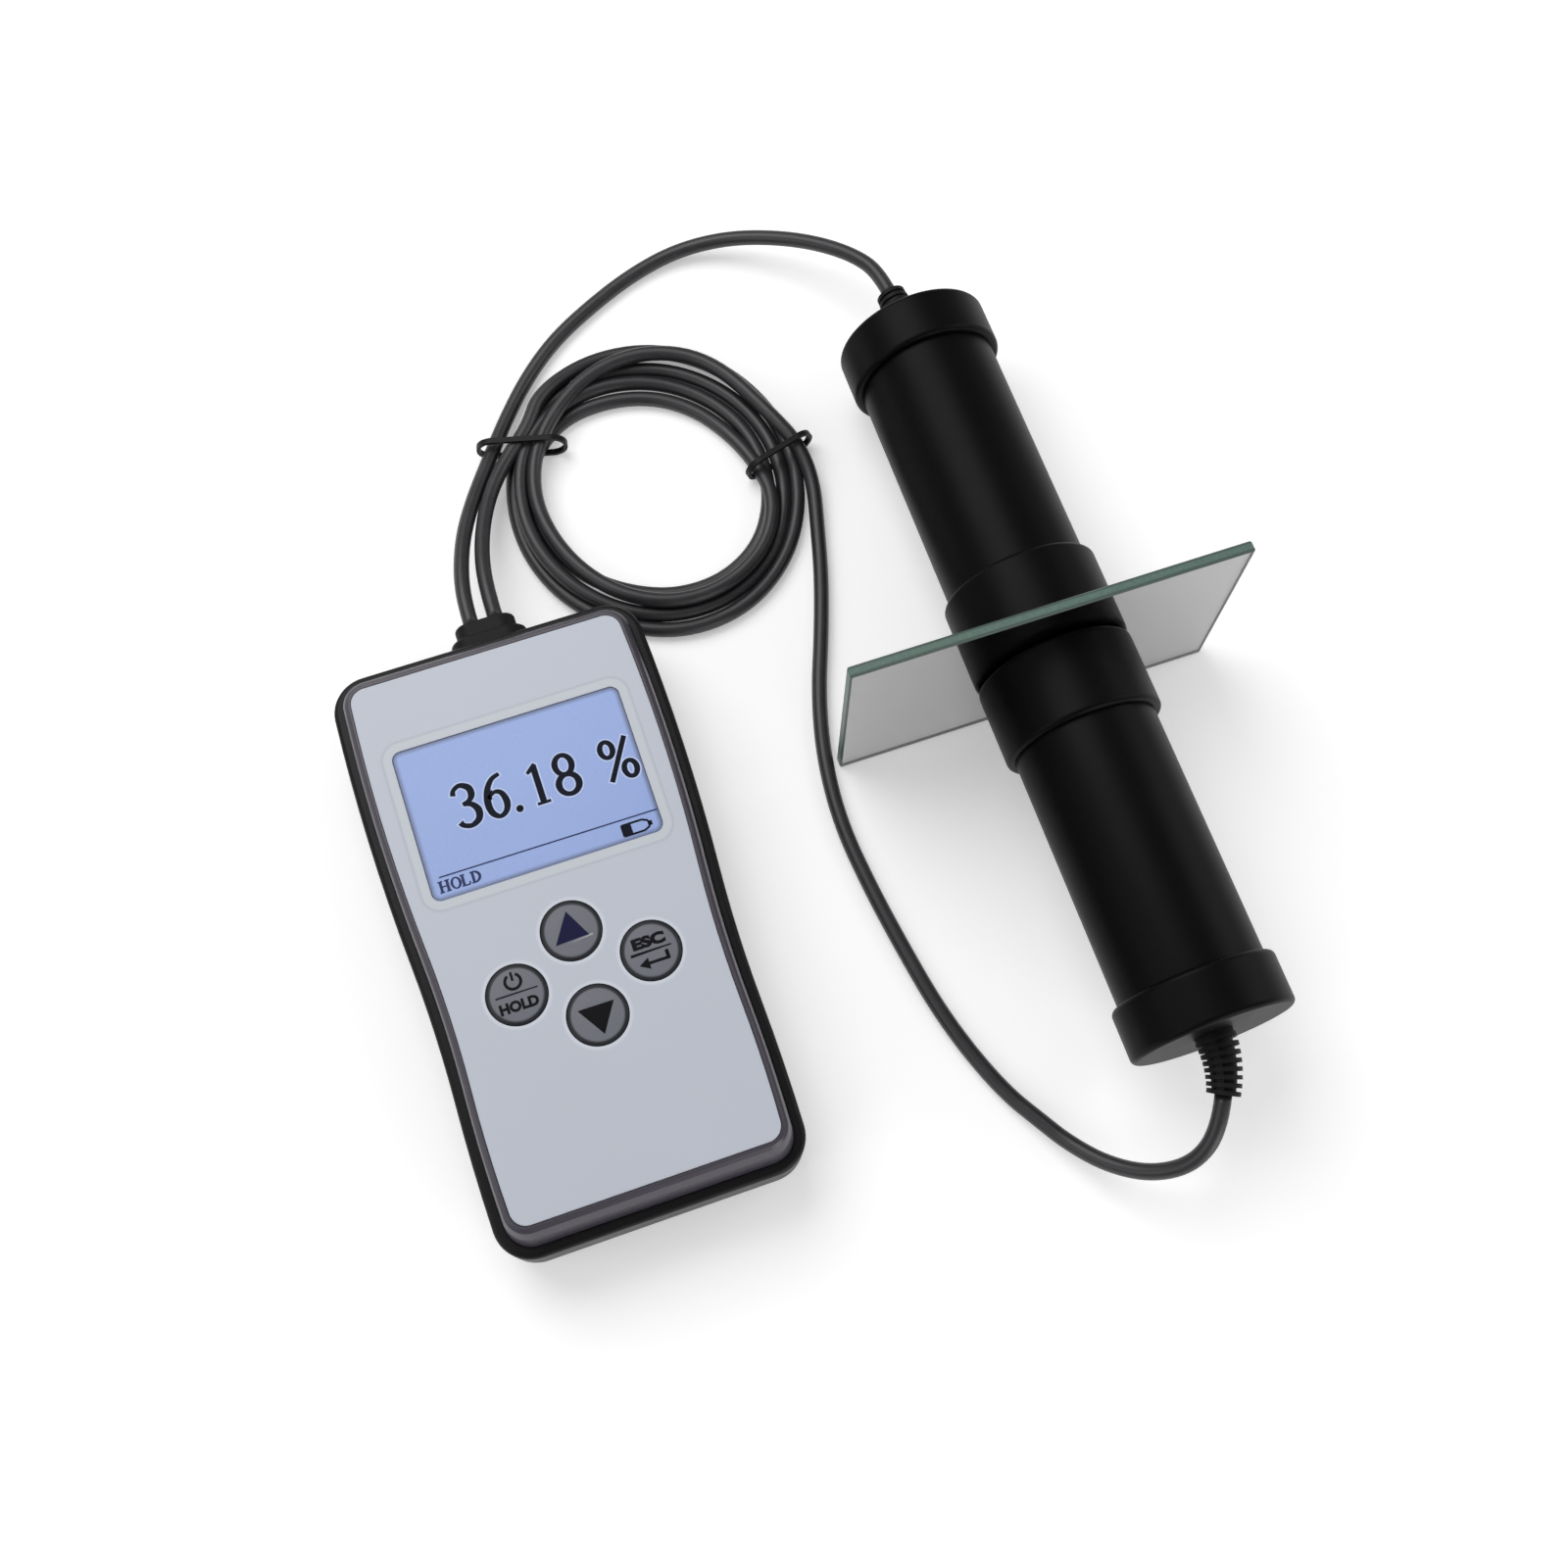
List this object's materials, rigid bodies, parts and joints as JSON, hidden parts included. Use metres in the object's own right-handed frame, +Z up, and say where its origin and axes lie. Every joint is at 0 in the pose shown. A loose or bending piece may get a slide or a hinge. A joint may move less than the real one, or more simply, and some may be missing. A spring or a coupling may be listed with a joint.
{
  "type": "light transmission meter",
  "caption": "Hand-held light transmission meter with a display and keys, and cylindrical source and receiver probes that meet magnetically across a glass sample.",
  "frame": {"origin": "centre of the meter's flat back face, on the surface that everything lies on", "axes": "+X to the right of the display, towards the probes; +Y towards the meter's cord end; +Z up, out of the display"},
  "size_m": [0.1901, 0.2466, 0.05],
  "materials": {
    "case_black": "fine moulded texture",
    "panel_grey": "satin, flat",
    "screen": "lit blue display under a clear cover",
    "inner_white": "plain",
    "key_grey": "satin with light legends",
    "key_rubber": "plain",
    "circuit_board": "solder mask",
    "battery_jacket": "printed sleeve, plain",
    "steel": "plain",
    "magnet_metal": "nickel plated",
    "probe_black": "black anodised, soft sheen",
    "relief_rubber": "plain",
    "cord_black": "smooth, soft sheen",
    "tie_black": "plain",
    "sample_glass": "clear with green edges",
    "window_glass": "clear"
  },
  "bodies": {
    "root": {"bottom_case": "case_black", "top_case": "case_black", "front_panel": "panel_grey", "lcd_window": "screen", "lcd_glass": "window_glass", "lcd_frame": "inner_white", "backlight": "inner_white", "main_board": "circuit_board", "board_chips": "case_black", "key_mat": "key_rubber", "batteries": "battery_jacket", "battery_contacts": "steel", "case_screws": "steel", "board_screws": "steel", "cable_boot": "relief_rubber", "cord_sockets": "inner_white", "inner_leads": "cord_black", "far_front_ring": "probe_black", "far_magnets": "magnet_metal", "far_tube": "probe_black", "far_end_cap": "probe_black", "far_window": "window_glass", "far_filter": "window_glass", "sensor_holder": "case_black", "light_sensor": "steel", "sensor_board": "circuit_board", "sensor_board_screws": "steel", "far_inner_lead": "cord_black", "far_strain_relief": "relief_rubber", "far_cord": "cord_black", "near_cord_lead": "cord_black", "cord_coil": "cord_black", "near_cord_run": "cord_black", "left_tie": "tie_black", "right_tie": "tie_black"},
    "power_key": {"power_key": "key_grey"},
    "up_key": {"up_key": "key_grey"},
    "down_key": {"down_key": "key_grey"},
    "enter_key": {"enter_key": "key_grey"},
    "battery_door": {"battery_door": "case_black"},
    "glass_plate": {"glass_plate": "sample_glass"},
    "near_probe": {"near_front_ring": "probe_black", "near_magnets": "magnet_metal", "near_tube": "probe_black", "near_end_cap": "probe_black", "near_window": "window_glass", "beam_lens": "window_glass", "lamp_holder": "case_black", "lamp": "window_glass", "lamp_board": "circuit_board", "lamp_board_screws": "steel", "near_inner_lead": "cord_black", "near_strain_relief": "relief_rubber", "near_cord_end": "cord_black"}
  },
  "joints": [
    {"name": "power_key_press", "type": "slide", "parent": "root", "child": "power_key", "axis": [0, 0, -1], "range_m": [0, 0.0004], "stiffness_N_per_m": 400, "springref_m": -0.0005},
    {"name": "up_key_press", "type": "slide", "parent": "root", "child": "up_key", "axis": [0, 0, -1], "range_m": [0, 0.0004], "stiffness_N_per_m": 400, "springref_m": -0.0005},
    {"name": "down_key_press", "type": "slide", "parent": "root", "child": "down_key", "axis": [0, 0, -1], "range_m": [0, 0.0004], "stiffness_N_per_m": 400, "springref_m": -0.0005},
    {"name": "enter_key_press", "type": "slide", "parent": "root", "child": "enter_key", "axis": [0, 0, -1], "range_m": [0, 0.0004], "stiffness_N_per_m": 400, "springref_m": -0.0005},
    {"name": "battery_door_slide", "type": "slide", "parent": "root", "child": "battery_door", "axis": [0, -1, 0], "range_m": [0, 0.06]},
    {"name": "glass_plate_lift", "type": "slide", "parent": "root", "child": "glass_plate", "axis": [0, 0.0467, 0.9989], "range_m": [0, 0.045]},
    {"name": "near_probe_pull", "type": "slide", "parent": "root", "child": "near_probe", "axis": [0, -0.9989, 0.0467], "range_m": [0, 0.025]}
  ]
}
